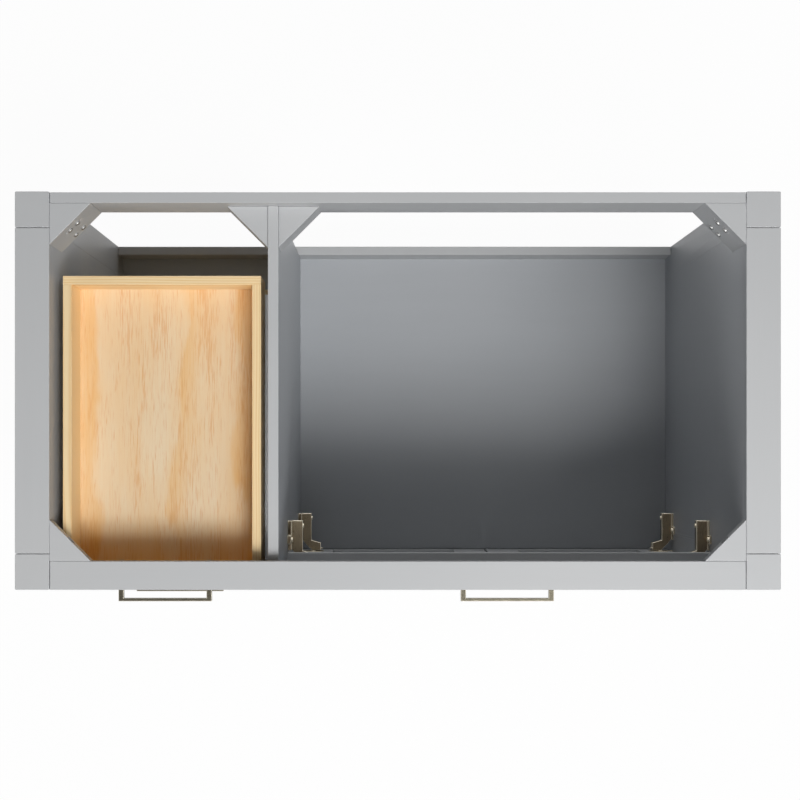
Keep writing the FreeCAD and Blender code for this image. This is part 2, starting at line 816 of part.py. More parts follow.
def bumper_seats():
    """Return the shallow bores that hold the bumpers."""
    reach = bumper_seat_depth + overrun
    radius = bumper_radius + bore_clearance
    inward = Vector(0, 1, 0)
    return [rod(place - inward * overrun, inward, reach, radius) for place in bumper_places()]


def bumpers():
    """Return the two bumpers that stop the doors."""
    thickness = bumper_seat_depth + floor_setback - front_thickness - bumper_clearance
    inward = Vector(0, 1, 0)
    seats = [place + inward * bumper_seat_depth for place in bumper_places()]
    return group([rod(seat, -inward, thickness, bumper_radius) for seat in seats])


def doors():
    """Return both doors, their hinges and the bumpers that stop them."""
    nodes = {}
    arms = []
    left_span, right_span = door_spans()
    for name, x_span, hinge_on_left, wall in (
        ("left", left_span, True, partition_right - stile_right - front_gap),
        ("right", right_span, False, -front_gap),
    ):
        prefix = "door_" + name + "_"
        frame_pieces, panel, handle, cups = door(x_span, hinge_on_left)
        nodes[prefix + "frame"] = frame_pieces
        nodes[prefix + "panel"] = panel
        nodes[prefix + "pull"] = handle
        nodes[prefix + "hinge_cups"] = cups
        hinge_edge = x_span[0] if hinge_on_left else x_span[1]
        links = []
        for level in hinge_levels:
            arms.append(place_hinge(hinge_arm(wall), hinge_edge, hinge_on_left, level))
            links.append(place_hinge(hinge_link(), hinge_edge, hinge_on_left, level))
        nodes[prefix + "hinge_links"] = group(links)
    nodes["hinge_arms"] = group(arms)
    nodes["door_bumpers"] = bumpers()
    return nodes


def build_nodes():
    """Return every node's shape by its name."""
    wall_bores = [pair[1] for pair in wall_screws()]
    nodes = {}
    nodes.update(posts())
    nodes.update(sides(wall_bores))
    nodes.update(frame())
    nodes.update(inside(wall_bores, bumper_seats()))
    nodes.update(false_front())
    nodes.update(drawers(wall_bores))
    nodes.update(doors())
    return nodes


def main():
    """Write each node to its own file."""
    os.makedirs("parts", exist_ok=True)
    nodes = build_nodes()
    for name, shape in nodes.items():
        shape.exportStep("parts/" + name + ".step")
        print(name, len(shape.Solids), round(shape.Volume))
    print("nodes:", len(nodes))


main()
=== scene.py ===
"""Dress a freestanding bathroom vanity cabinet, seen from above without its countertop.

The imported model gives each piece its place. This script eases the edges of the boards,
models the bar pulls, the screws, the door frames and the drawer boxes, and gives every
piece its finish.
"""

import json
import logging
import math
from collections.abc import Callable, Iterator, Sequence
from contextlib import contextmanager
from dataclasses import dataclass
from enum import Enum
from functools import partial

import bpy
import numpy as np
from mathutils import Matrix, Vector

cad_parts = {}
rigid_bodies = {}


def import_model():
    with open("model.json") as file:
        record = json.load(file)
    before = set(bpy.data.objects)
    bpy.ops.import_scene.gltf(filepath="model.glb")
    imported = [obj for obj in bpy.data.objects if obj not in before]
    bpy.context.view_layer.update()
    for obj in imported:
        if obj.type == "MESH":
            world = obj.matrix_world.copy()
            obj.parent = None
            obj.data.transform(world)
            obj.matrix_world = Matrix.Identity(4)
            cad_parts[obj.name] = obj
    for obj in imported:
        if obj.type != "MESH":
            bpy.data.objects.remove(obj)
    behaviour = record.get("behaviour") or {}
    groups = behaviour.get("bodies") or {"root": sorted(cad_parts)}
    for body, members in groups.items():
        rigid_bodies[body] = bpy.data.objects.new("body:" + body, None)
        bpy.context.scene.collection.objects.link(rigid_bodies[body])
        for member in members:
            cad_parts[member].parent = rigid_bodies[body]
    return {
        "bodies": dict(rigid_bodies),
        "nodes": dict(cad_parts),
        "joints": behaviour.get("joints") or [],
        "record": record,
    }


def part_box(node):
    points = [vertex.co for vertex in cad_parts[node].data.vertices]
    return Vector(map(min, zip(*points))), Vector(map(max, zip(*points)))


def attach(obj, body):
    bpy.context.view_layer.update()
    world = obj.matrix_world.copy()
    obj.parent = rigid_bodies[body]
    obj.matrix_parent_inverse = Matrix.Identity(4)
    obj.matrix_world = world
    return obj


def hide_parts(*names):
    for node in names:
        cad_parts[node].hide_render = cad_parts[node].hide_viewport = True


log = logging.getLogger("vanity")

Colour = tuple[float, float, float]
Box = tuple[Vector, Vector]

# Lengths are in metres. A face looks along an axis where its normal's share passes FACING.
NEAR = 0.00002
MERGE_DISTANCE = 0.00001
FACING = 0.9
FLAT_ANGLE = math.radians(0.5)
SMOOTH_ANGLE = math.radians(32.0)
SHARP_ANGLE = math.radians(35.0)
WHITE = (1.0, 1.0, 1.0, 1.0)


class Axis(Enum):
    """A direction in which grain or brushing runs."""

    X = 0
    Y = 1
    Z = 2

    def stretch(self, along: float, across: float = 1.0) -> tuple[float, float, float]:
        """Return the scale of a pattern that is drawn out along this axis.

        Args:
            along: The scale along the axis.
            across: The scale across it.

        Returns:
            The three scales.
        """
        return tuple(along if index == self.value else across for index in range(3))


class Wire:
    """A shader socket that takes part in sums and products."""

    def __init__(self, shader: "Shader", socket: bpy.types.NodeSocket) -> None:
        """Wrap a socket.

        Args:
            shader: The shader that the socket belongs to.
            socket: The output socket.
        """
        self.shader = shader
        self.socket = socket

    def __add__(self, other: "Wire | float") -> "Wire":
        """Return the sum."""
        return self.shader.maths("ADD", self, other)

    def __radd__(self, other: float) -> "Wire":
        """Return the sum with a number first."""
        return self.shader.maths("ADD", other, self)

    def __sub__(self, other: "Wire | float") -> "Wire":
        """Return the difference."""
        return self.shader.maths("SUBTRACT", self, other)

    def __rsub__(self, other: float) -> "Wire":
        """Return the difference from a number."""
        return self.shader.maths("SUBTRACT", other, self)

    def __mul__(self, other: "Wire | float") -> "Wire":
        """Return the product."""
        return self.shader.maths("MULTIPLY", self, other)

    def __rmul__(self, other: float) -> "Wire":
        """Return the product with a number first."""
        return self.shader.maths("MULTIPLY", other, self)

    def __truediv__(self, other: "Wire | float") -> "Wire":
        """Return the quotient."""
        return self.shader.maths("DIVIDE", self, other)


class Shader:
    """The nodes of one material or of the world."""

    def __init__(self, tree: bpy.types.NodeTree) -> None:
        """Start with an empty tree.

        Args:
            tree: The tree to fill.
        """
        self.tree = tree
        tree.nodes.clear()

    def node(
        self, kind: str, settings: dict | None = None, sockets: dict | None = None
    ) -> bpy.types.Node:
        """Add a node.

        Args:
            kind: The node's type.
            settings: Its settings by name.
            sockets: The values or wires of its inputs, by name or number.

        Returns:
            The new node.
        """
        made = self.tree.nodes.new(kind)
        for name, value in (settings or {}).items():
            setattr(made, name, value)
        for name, value in (sockets or {}).items():
            if isinstance(value, Wire):
                self.tree.links.new(value.socket, made.inputs[name])
            else:
                made.inputs[name].default_value = value
        return made

    def wire(self, node: bpy.types.Node, output: str | int = 0) -> Wire:
        """Return one output of a node as a wire."""
        return Wire(self, node.outputs[output])

    def maths(self, operation: str, first: Wire | float, second: Wire | float) -> Wire:
        """Return the result of a Math node.

        Args:
            operation: The node's operation.
            first: Its first value.
            second: Its second value.

        Returns:
            The result.
        """
        node = self.node("ShaderNodeMath", {"operation": operation}, {0: first, 1: second})
        return self.wire(node)

    def place(
        self,
        scale: Sequence[float] = (1.0, 1.0, 1.0),
        shift: Sequence[float] = (0.0, 0.0, 0.0),
    ) -> Wire:
        """Return the place on the piece, scaled and shifted.

        Args:
            scale: The scale on each axis.
            shift: What is added after scaling.

        Returns:
            The place as a vector.
        """
        place = self.wire(self.node("ShaderNodeTexCoord"), "Object")
        settings = {"operation": "MULTIPLY_ADD"}
        sockets = {0: place, 1: scale, 2: shift}
        return self.wire(self.node("ShaderNodeVectorMath", settings, sockets))

    def noise(
        self,
        scale: float,
        detail: float,
        stretch: Sequence[float] = (1.0, 1.0, 1.0),
        shift: Sequence[float] = (0.0, 0.0, 0.0),
    ) -> Wire:
        """Return a cloudy pattern from 0 to 1.

        Args:
            scale: Its features per metre.
            detail: How many finer layers it has.
            stretch: The scale on each axis before that.
            shift: What is added to the stretched place.

        Returns:
            The pattern's value.
        """
        sockets = {"Vector": self.place(stretch, shift), "Scale": scale, "Detail": detail}
        return self.wire(self.node("ShaderNodeTexNoise", None, sockets))

    def step(self, value: Wire, low: float, high: float) -> Wire:
        """Return 0 below low, 1 above high and a smooth rise between them.

        Args:
            value: The value to test.
            low: Where the rise begins.
            high: Where it ends.

        Returns:
            The rise from 0 to 1.
        """
        settings = {"interpolation_type": "SMOOTHSTEP"}
        sockets = {"Value": value, "From Min": low, "From Max": high}
        return self.wire(self.node("ShaderNodeMapRange", settings, sockets))

    def blend(self, share: Wire, first: Wire | Colour, second: Wire | Colour) -> Wire:
        """Return a mix of two colours.

        Args:
            share: The second colour's share.
            first: The first colour.
            second: The second colour.

        Returns:
            The mixed colour.
        """
        colours = [value if isinstance(value, Wire) else (*value, 1.0) for value in (first, second)]
        sockets = {0: share, 6: colours[0], 7: colours[1]}
        return self.wire(self.node("ShaderNodeMix", {"data_type": "RGBA"}, sockets), 2)

    def toned(self, colour: Wire | Colour, tone: Wire) -> Wire:
        """Return a colour made lighter or darker.

        Args:
            colour: The colour.
            tone: What it is multiplied by.

        Returns:
            The toned colour.
        """
        sockets = {0: colour, "Scale": tone}
        return self.wire(self.node("ShaderNodeVectorMath", {"operation": "SCALE"}, sockets))

    def surface(self, linked: dict, fixed: dict, height: Wire, depth: float) -> None:
        """Add the surface itself.

        Args:
            linked: The wires of the surface's own sockets.
            fixed: The sockets that are the same all over.
            height: The relief, from 0 to 1.
            depth: The relief's full depth.
        """
        relief = self.node("ShaderNodeBump", None, {"Height": height, "Distance": depth})
        sockets = {**fixed, **linked, "Normal": self.wire(relief)}
        surface = self.node("ShaderNodeBsdfPrincipled", None, sockets)
        self.node("ShaderNodeOutputMaterial", None, {"Surface": self.wire(surface)})


def new_shader(name: str) -> tuple[bpy.types.Material, Shader]:
    """Start a material.

    Args:
        name: The material's name.

    Returns:
        The material and its empty shader.
    """
    material = bpy.data.materials.new(name)
    material.use_nodes = True
    return material, Shader(material.node_tree)


class Coat(Enum):
    """The paint and a darker, bluer copy of it that is painted shade on the inner walls and the floor,
    each with its cool and its warm tone.
    """

    BODY = ((0.512, 0.524, 0.535), (0.538, 0.543, 0.548))
    # The darker, bluer coat stands in for the shade inside the cabinet: painted shade.
    INSIDE = ((0.420, 0.441, 0.465), (0.443, 0.457, 0.476))


@dataclass(frozen=True)
class Paint:
    """Satin light grey paint rolled over wood, whose grain still shows a little."""

    grain: Axis
    coat: Coat
    roughness: float = 0.42
    relief: float = 0.00009
    gloss: float = 0.4

    def material(self) -> bpy.types.Material:
        """Return the material.

        Returns:
            The paint on boards with this grain.
        """
        cool, warm = self.coat.value
        material, shader = new_shader(f"paint_{self.coat.name}_along_{self.grain.name}".lower())
        clouds = shader.noise(scale=3.1, detail=2.0)
        fibres = shader.noise(scale=420.0, detail=3.0, stretch=self.grain.stretch(0.04))
        bands = shader.noise(scale=46.0, detail=2.0, stretch=self.grain.stretch(0.08))
        stipple = shader.noise(scale=1500.0, detail=1.0)
        tone = 1.0 + (clouds - 0.5) * 0.06 + (bands - 0.5) * 0.035 + (fibres - 0.5) * 0.02
        colour = shader.toned(shader.blend(clouds, cool, warm), tone)
        roughness = self.roughness + (clouds - 0.5) * 0.08 + (stipple - 0.5) * 0.1
        height = fibres * 0.5 + bands * 0.2 + stipple * 0.3
        linked = {"Base Color": colour, "Roughness": roughness}
        shader.surface(linked, {"Specular IOR Level": self.gloss}, height, self.relief)
        return material


@dataclass(frozen=True)
class PineBoard:
    """Clear sealed pine, sawn so that its growth rings run as close lines."""

    grain: Axis
    early: Colour = (0.99, 0.775, 0.46)
    late: Colour = (0.85, 0.53, 0.21)
    pith: tuple[float, float, float] = (-0.55, -0.9, 0.62)
    ring: float = 0.0038
    drift: float = 0.03
    roughness: float = 0.42
    relief: float = 0.00012
    gloss: float = 0.35
    sealer: float = 0.08

    def material(self) -> bpy.types.Material:
        """Return the material.

        Returns:
            The pine of the drawers' boards.
        """
        material, shader = new_shader("pine_along_" + self.grain.name.lower())
        flat = self.grain.stretch(0.0)
        from_pith = shader.place(flat, [-place * share for place, share in zip(self.pith, flat)])
        length = shader.node("ShaderNodeVectorMath", {"operation": "LENGTH"}, {0: from_pith})
        drift = shader.noise(scale=9.0, detail=2.0, stretch=self.grain.stretch(0.12))
        turns = (shader.wire(length, "Value") + drift * self.drift) / self.ring
        rings = shader.maths("FRACT", turns, 0.0)
        late = shader.step(rings, 0.35, 0.85) - shader.step(rings, 0.9, 1.0)
        fibres = shader.noise(scale=900.0, detail=3.0, stretch=self.grain.stretch(0.03))
        clouds = shader.noise(scale=14.0, detail=2.0, stretch=self.grain.stretch(0.3))
        share = late * 0.54 + clouds * 0.2 + (fibres - 0.5) * 0.3
        tone = 0.98 + (clouds - 0.5) * 0.1
        colour = shader.toned(shader.blend(share, self.early, self.late), tone)
        height = late * 0.5 + fibres * 0.5
        linked = {"Base Color": colour, "Roughness": self.roughness + fibres * 0.16}
        fixed = {"Specular IOR Level": self.gloss, "Coat Weight": self.sealer}
        shader.surface(linked, fixed, height, self.relief)
        return material


@dataclass(frozen=True)
class PinePly:
    """A pine veneer peeled from the log: a pale heart, amber flames beside it, fine pores, and painted
    warm shade at the front end.
    """

    grain: Axis = Axis.Y
    pale: Colour = (0.86, 0.7, 0.48)
    honey: Colour = (0.83, 0.49, 0.17)
    amber: Colour = (0.72, 0.32, 0.08)
    heart: float = -0.379
    heart_width: float = 0.096
    flame_spacing: float = 0.1
    sway: float = 0.13
    # Where the honey tone at the front end fades out on Y: painted warm shade under the front rail.
    front: tuple[float, float] = (-0.245, -0.15)
    roughness: float = 0.44
    relief: float = 0.0001
    gloss: float = 0.35
    sealer: float = 0.08

    def material(self) -> bpy.types.Material:
        """Return the material.

        Returns:
            The veneer of the drawers' floors.
        """
        material, shader = new_shader("pine_veneer")
        flames = self.flames(shader)
        axes = shader.node("ShaderNodeSeparateXYZ", None, {0: shader.place()})
        # A honey tone over the front end of the floor: painted warm shade under the front rail.
        front = 1.0 - shader.step(shader.wire(axes, "Y"), *self.front)
        clouds = shader.noise(24.0, 2.0, self.grain.stretch(0.25), (0.4, 1.4, 0.0))
        fibres = shader.noise(420.0, 4.0, self.grain.stretch(0.03))
        strokes = shader.noise(860.0, 2.0, self.grain.stretch(0.05), (0.0, 0.3, 0.0))
        flocks = shader.noise(50.0, 2.0, self.grain.stretch(0.12), (0.7, 0.0, 0.0))
        pores = shader.step(strokes + (flocks - 0.5) * 0.75, 0.5, 0.78)
        share = 0.16 + flames * 0.5 + front * 0.5 + (fibres - 0.5) * 0.45 + (clouds - 0.5) * 0.8
        veneer = shader.blend(share, self.pale, self.honey)
        colour = shader.blend(pores * 0.48, veneer, self.amber)
        height = 1.0 - pores * 0.6 + fibres * 0.3
        linked = {"Base Color": colour, "Roughness": self.roughness + pores * 0.15}
        fixed = {"Specular IOR Level": self.gloss, "Coat Weight": self.sealer}
        shader.surface(linked, fixed, height, self.relief)
        return material

    def flames(self, shader: Shader) -> Wire:
        """Return the amber flames, sharp towards the heart and soft away from it.

        Args:
            shader: The veneer's shader.

        Returns:
            The flames' strength from 0 to 1.
        """
        axes = shader.node("ShaderNodeSeparateXYZ", None, {0: shader.place()})
        sway = shader.noise(11.0, 4.0, self.grain.stretch(0.35), (0.21, 0.0, 0.0))
        off_heart = shader.wire(axes, "X") - self.heart + (sway - 0.5) * self.sway
        away = shader.maths("ABSOLUTE", off_heart, 0.0) - self.heart_width / 2
        rings = shader.maths("FRACT", away / self.flame_spacing, 0.0)
        bands = shader.step(rings, 0.0, 0.12) - shader.step(rings, 0.08, 0.7)
        where = shader.noise(8.0, 1.0, self.grain.stretch(0.5), (1.3, 0.4, 0.0))
        return bands * (0.4 + shader.step(where, 0.36, 0.6) * 0.6)


class Metal(Enum):
    """The metals, each with its light tone, its dark tone and its roughness."""

    NICKEL = ((0.085, 0.078, 0.059), (0.043, 0.039, 0.029), 0.3)
    # A pale copy of the nickel for the pulls' rounded edges: a painted highlight.
    NICKEL_EDGE = ((0.52, 0.48, 0.4), (0.34, 0.31, 0.25), 0.4)
    HINGE = ((0.31, 0.25, 0.17), (0.146, 0.115, 0.073), 0.3)
    # A pale copy of the hinge metal for the hinges' rounded edges, a painted highlight; the hinge
    # screws take it too.
    HINGE_EDGE = ((0.95, 0.88, 0.72), (0.75, 0.68, 0.54), 0.45)
    ZINC = ((0.72, 0.74, 0.76), (0.56, 0.58, 0.6), 0.36)
    SCREW = ((0.5, 0.5, 0.49), (0.36, 0.36, 0.35), 0.42)


@dataclass(frozen=True)
class BrushedMetal:
    """Metal brushed along one axis, or plated sheet with a faint rolling direction."""

    name: str
    metal: Metal
    brush: Axis
    relief: float = 0.00004

    def material(self) -> bpy.types.Material:
        """Return the material.

        Returns:
            The metal with its brushing.
        """
        light, dark, base_roughness = self.metal.value
        material, shader = new_shader(self.name)
        strokes = shader.noise(scale=2600.0, detail=3.0, stretch=self.brush.stretch(0.02))
        smudges = shader.noise(scale=60.0, detail=2.0)
        colour = shader.blend(strokes * 0.6 + smudges * 0.4, dark, light)
        roughness = base_roughness + (strokes - 0.5) * 0.18 + (smudges - 0.5) * 0.1
        linked = {"Base Color": colour, "Roughness": roughness}
        shader.surface(linked, {"Metallic": 1.0}, strokes, self.relief)
        return material


@dataclass(frozen=True)
class MouldedPlastic:
    """Plastic with the fine sparkle of its mould."""

    name: str
    colour: Colour
    roughness: float
    relief: float = 0.00005
    gloss: float = 0.45

    def material(self) -> bpy.types.Material:
        """Return the material.

        Returns:
            The plastic.
        """
        material, shader = new_shader(self.name)
        spark = shader.noise(scale=1800.0, detail=2.0)
        clouds = shader.noise(scale=90.0, detail=1.0)
        colour = shader.toned(self.colour, 0.94 + clouds * 0.12)
        linked = {"Base Color": colour, "Roughness": self.roughness + (spark - 0.5) * 0.2}
        shader.surface(linked, {"Specular IOR Level": self.gloss}, spark, self.relief)
        return material


class Finishes:
    """Every finish on the cabinet, each made once."""

    def __init__(self) -> None:
        """Make the materials."""
        self.paint = {(coat, axis): Paint(axis, coat).material() for coat in Coat for axis in Axis}
        self.board = {axis: PineBoard(axis).material() for axis in (Axis.X, Axis.Y)}
        self.veneer = PinePly().material()
        self.nickel = {
            axis: self.brushed("nickel_along_" + axis.name.lower(), Metal.NICKEL, axis)
            for axis in (Axis.X, Axis.Z)
        }
        # The pale edge metals are painted highlights on the rounded edges.
        self.nickel_edge = self.brushed("nickel_highlight_edges", Metal.NICKEL_EDGE, Axis.X)
        self.hinge = self.brushed("hinge_plating", Metal.HINGE, Axis.Y)
        self.hinge_edge = self.brushed("hinge_edges", Metal.HINGE_EDGE, Axis.Y)
        self.zinc = self.brushed("zinc_sheet", Metal.ZINC, Axis.Y)
        self.screw = self.brushed("screw_zinc", Metal.SCREW, Axis.Z)
        self.glide = MouldedPlastic("glide_plastic", (0.022, 0.022, 0.024), 0.5).material()
        self.bumper = MouldedPlastic("bumper_plastic", (0.62, 0.61, 0.57), 0.35).material()

    @staticmethod
    def brushed(name: str, metal: Metal, brush: Axis) -> bpy.types.Material:
        """Return a brushed metal's material."""
        return BrushedMetal(name, metal, brush).material()


def deselect() -> None:
    """Leave nothing selected."""
    bpy.ops.object.select_all(action="DESELECT")


def activate(piece: bpy.types.Object) -> None:
    """Select one piece alone and make it the active one.

    Args:
        piece: The piece.
    """
    deselect()
    piece.select_set(True)
    bpy.context.view_layer.objects.active = piece


@contextmanager
def editing(piece: bpy.types.Object) -> Iterator[None]:
    """Hold a piece in edit mode.

    Args:
        piece: The piece to edit.

    Yields:
        Nothing.
    """
    activate(piece)
    bpy.ops.object.mode_set(mode="EDIT")
    try:
        yield
    finally:
        bpy.ops.object.mode_set(mode="OBJECT")


def select_faces(piece: bpy.types.Object, test: Callable[[bpy.types.MeshPolygon], bool]) -> None:
    """Select the faces of a piece that pass a test, ready for edit mode.

    Args:
        piece: The piece, in object mode.
        test: Says of a face whether it is wanted.
    """
    bpy.context.tool_settings.mesh_select_mode = (False, False, True)
    mesh = piece.data
    mesh.vertices.foreach_set("select", [False] * len(mesh.vertices))
    mesh.edges.foreach_set("select", [False] * len(mesh.edges))
    for face in mesh.polygons:
        face.select = bool(test(face))


def apply_modifiers(piece: bpy.types.Object) -> None:
    """Apply every modifier of a piece in order.

    Args:
        piece: The piece.
    """
    activate(piece)
    for name in [modifier.name for modifier in piece.modifiers]:
        bpy.ops.object.modifier_apply(modifier=name)


def weigh_sharp_edges(
    piece: bpy.types.Object, stays_sharp: Callable[[Vector, Vector], bool]
) -> None:
    """Mark the sharp edges of a piece for rounding.

    Args:
        piece: The piece.
        stays_sharp: Says from the ends of an edge whether it is left alone.
    """
    bpy.context.tool_settings.mesh_select_mode = (False, True, False)
    with editing(piece):
        bpy.ops.mesh.select_all(action="DESELECT")
        bpy.ops.mesh.edges_select_sharp(sharpness=SHARP_ANGLE)
    corners = piece.data.vertices
    for edge in piece.data.edges:
        first, second = edge.vertices
        if edge.select and stays_sharp(corners[first].co, corners[second].co):
            edge.select = False
    with editing(piece):
        bpy.ops.transform.edge_bevelweight(value=1.0)


def ease_edges(
    piece: bpy.types.Object,
    width: float,
    segments: int = 3,
    stays_sharp: Callable[[Vector, Vector], bool] | None = None,
    material_index: int = -1,
) -> None:
    """Round the sharp edges of a piece.

    Args:
        piece: The piece, with merged corners.
        width: The width of the rounding.
        segments: How many faces the rounding has.
        stays_sharp: Says from the ends of an edge whether it is left alone, if any is.
        material_index: The material of the rounding, or -1 for that of the faces beside it.
    """
    if stays_sharp is not None:
        weigh_sharp_edges(piece, stays_sharp)
    activate(piece)
    bpy.ops.object.shade_smooth_by_angle(angle=SHARP_ANGLE)
    bevel = piece.modifiers.new("easing", "BEVEL")
    bevel.width = width
    bevel.segments = segments
    bevel.limit_method = "ANGLE" if stays_sharp is None else "WEIGHT"
    bevel.angle_limit = SHARP_ANGLE
    bevel.use_clamp_overlap = False
    bevel.harden_normals = True
    bevel.material = material_index
    apply_modifiers(piece)


def draw_in(piece: bpy.types.Object, along: Axis, gap: float) -> None:
    """Draw both ends of a piece in, so that its joints show as fine lines.

    Args:
        piece: The piece.
        along: The axis on which its ends lie.
        gap: How far each end moves.
    """
    low, high = box_of(piece)
    for end, step in ((low[along.value], gap), (high[along.value], -gap)):
        select_faces(piece, lambda face: abs(face.center[along.value] - end) < NEAR)
        with editing(piece):
            bpy.ops.transform.translate(value=along.stretch(step, 0.0))


def copy_node(node: str, name: str) -> bpy.types.Object:
    """Return a copy of a node with its corners merged and its flat faces whole.

    Args:
        node: The node to copy.
        name: The new piece's name.

    Returns:
        The new piece.
    """
    source = bpy.data.objects[node]
    piece = bpy.data.objects.new(name, source.data.copy())
    piece.data.name = name
    bpy.context.scene.collection.objects.link(piece)
    with editing(piece):
        bpy.ops.mesh.select_all(action="SELECT")
        bpy.ops.mesh.remove_doubles(threshold=MERGE_DISTANCE)
        bpy.ops.mesh.dissolve_limited(angle_limit=FLAT_ANGLE)
    return piece


def loose_parts(node: str) -> list[bpy.types.Object]:
    """Return the solids of a node as separate pieces.

    Args:
        node: The node to take apart.

    Returns:
        The parts, which belong to the scene until they are removed or joined.
    """
    whole = copy_node(node, node + "_part")
    with editing(whole):
        bpy.ops.mesh.select_all(action="SELECT")
        bpy.ops.mesh.separate(type="LOOSE")
    return list(bpy.context.selected_objects)


def discard(pieces: Sequence[bpy.types.Object]) -> None:
    """Remove pieces that only served to measure or to make others."""
    for piece in pieces:
        bpy.data.objects.remove(piece)


def cut_away(piece: bpy.types.Object, tools: Sequence[bpy.types.Object]) -> None:
    """Cut the shapes of some tools out of a piece and remove the tools.

    Args:
        piece: The piece.
        tools: The shapes to cut away.
    """
    for tool in tools:
        cut = piece.modifiers.new(tool.name, "BOOLEAN")
        cut.operation = "DIFFERENCE"
        cut.solver = "EXACT"
        cut.object = tool
    apply_modifiers(piece)
    discard(tools)


def join(pieces: Sequence[bpy.types.Object], name: str) -> bpy.types.Object:
    """Join pieces into one.

    Args:
        pieces: The pieces to join.
        name: The joined piece's name.

    Returns:
        The joined piece.
    """
    activate(pieces[0])
    for piece in pieces[1:]:
        piece.select_set(True)
    if len(pieces) > 1:
        bpy.ops.object.join()
    pieces[0].name = name
    pieces[0].data.name = name
    return pieces[0]


def corners_of(piece: bpy.types.Object) -> np.ndarray:
    """Return the corners of a piece.

    Args:
        piece: The piece.

    Returns:
        The corners as rows of three numbers.
    """
    flat = np.zeros(len(piece.data.vertices) * 3)
    piece.data.vertices.foreach_get("co", flat)
    return flat.reshape(-1, 3)


def box_of(piece: bpy.types.Object) -> Box:
    """Return the lowest and the highest corner of a piece."""
    corners = corners_of(piece)
    return Vector(corners.min(axis=0)), Vector(corners.max(axis=0))


def add_block(name: str, low: Vector, high: Vector) -> bpy.types.Object:
    """Add a block between two corners, with its place in its mesh.

    Args:
        name: The block's name.
        low: Its lowest corner.
        high: Its highest corner.

    Returns:
        The block.
    """
    deselect()
    bpy.ops.mesh.primitive_cube_add(size=1.0, location=(low + high) / 2)
    block = bpy.context.object
    block.scale = high - low
    bpy.ops.object.transform_apply(location=True, rotation=True, scale=True)
    block.name = name
    block.data.name = name
    return block


def add_board(name: str, low: Vector, high: Vector, easing: float) -> bpy.types.Object:
    """Add a board with eased edges between two corners.

    Args:
        name: The board's name.
        low: Its lowest corner.
        high: Its highest corner.
        easing: The width of its rounded edges.

    Returns:
        The board.
    """
    board = add_block(name, low, high)
    ease_edges(board, easing)
    return board


def paint_with(piece: bpy.types.Object, *materials: bpy.types.Material) -> None:
    """Give a piece its materials in place of those it has.

    Args:
        piece: The piece.
        materials: Its materials in order.
    """
    piece.data.materials.clear()
    for material in materials:
        piece.data.materials.append(material)


class PackedCabinet:
    """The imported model, with what its record says of each node."""

    def __init__(self) -> None:
        """Load the model."""
        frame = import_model()
        record = frame["record"]
        self.nodes = frame["nodes"]
        self.slots = {row["node"]: row["material_slot"] for row in record["subparts"]}
        self.bodies = {
            node: body for body, nodes in record["behaviour"]["bodies"].items() for node in nodes
        }

    def settle(
        self,
        piece: bpy.types.Object,
        node: str,
        material: bpy.types.Material | None = None,
        replaces: Sequence[str] = (),
    ) -> None:
        """Finish a piece: its material, its body and the nodes it stands for.

        Args:
            piece: The piece.
            node: The node whose body and slot it takes.
            material: Its material, or none if it has its own already.
            replaces: The nodes that it stands for.
        """
        if material is not None:
            paint_with(piece, material)
        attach(piece, self.bodies[node])
        if replaces:
            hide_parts(*replaces)
        log.info("%s: %d faces on %s", piece.name, len(piece.data.polygons), self.bodies[node])


@dataclass(frozen=True)
class ScrewPlace:
    """Where a screw sits and how large it is."""

    top: Vector
    outward: Vector
    head_radius: float
    head_height: float
    shank_radius: float
    length: float


